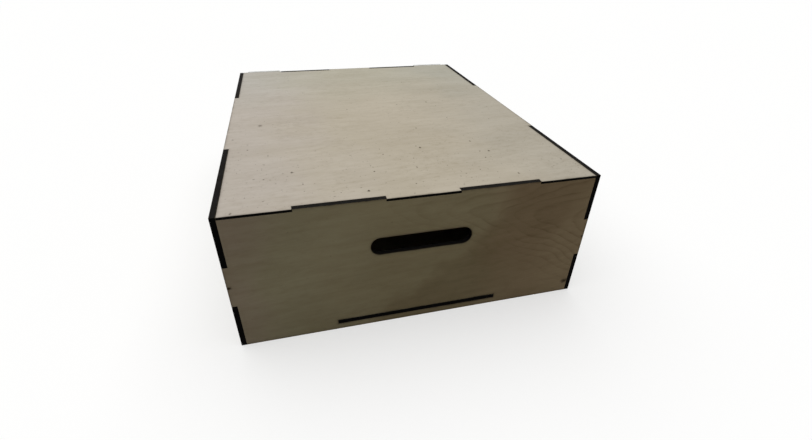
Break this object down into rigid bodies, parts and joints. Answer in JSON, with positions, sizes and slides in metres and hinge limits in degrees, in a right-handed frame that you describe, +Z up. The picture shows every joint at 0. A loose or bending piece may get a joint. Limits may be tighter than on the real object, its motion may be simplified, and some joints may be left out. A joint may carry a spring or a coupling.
{
  "type": "jack in the box",
  "caption": "Shallow finger-jointed plywood jack-in-the-box with a hinged lid, magnetic catches and hand slots; a doll on a coil spring rises as the lid opens.",
  "frame": {"origin": "on the surface that the case stands on, under the middle of the whole part's box", "axes": "+Z up, -Y towards the front panel, +X towards the right panel"},
  "size_m": [0.36, 0.4648, 0.1475],
  "materials": {
    "birch_ply": "raw laser-cut birch plywood, with charred edges",
    "block_wood": "raw birch, sawn and sanded",
    "magnet_nickel": "bright nickel plate",
    "hinge_steel": "zinc-plated steel",
    "screw_steel": "bright zinc-plated steel",
    "spring_steel": "drawn spring wire, lightly oiled",
    "sleeve_cloth": "woven cotton in red and cream stripes",
    "turned_beech": "turned beech with a satin oil finish and a painted face",
    "ruff_cloth": "cream cotton, pleated",
    "nose_paint": "red gloss paint on a turned bead",
    "hat_felt": "blue wool felt",
    "bell_brass": "polished brass"
  },
  "bodies": {
    "case": {"front_panel": "birch_ply", "back_panel": "birch_ply", "left_panel": "birch_ply", "right_panel": "birch_ply", "floor_panel": "birch_ply", "left_catch_block": "block_wood", "right_catch_block": "block_wood", "left_magnet": "magnet_nickel", "right_magnet": "magnet_nickel", "left_case_leaf": "hinge_steel", "right_case_leaf": "hinge_steel", "left_hinge_pin": "hinge_steel", "right_hinge_pin": "hinge_steel", "case_leaf_screws": "screw_steel", "spring_base": "block_wood", "spring_base_screws": "screw_steel", "lower_spring_clips": "screw_steel", "jack_spring": "spring_steel", "jack_sleeve": "sleeve_cloth"},
    "lid": {"lid_panel": "birch_ply", "left_lid_leaf": "hinge_steel", "right_lid_leaf": "hinge_steel", "lid_leaf_screws": "screw_steel", "left_strike_disc": "screw_steel", "right_strike_disc": "screw_steel"},
    "jack": {"upper_disc": "block_wood", "upper_spring_clips": "screw_steel", "neck_dowel": "turned_beech", "ruff": "ruff_cloth", "head": "turned_beech", "nose": "nose_paint", "hat": "hat_felt", "hat_bells": "bell_brass"}
  },
  "joints": [
    {"name": "lid_hinge", "type": "hinge", "parent": "case", "child": "lid", "pos_m": [0, 0.2269, 0.1445], "axis": [-1, 0, 0], "range_deg": [0, 105]},
    {"name": "jack_pop", "type": "slide", "parent": "case", "child": "jack", "axis": [0, 0, 1], "range_m": [0, 0.21], "deforming": ["jack_spring", "jack_sleeve"]}
  ],
  "couplings": [
    {"joint": "jack_pop", "follows": "lid_hinge", "m_per_rad": 0.1145}
  ]
}
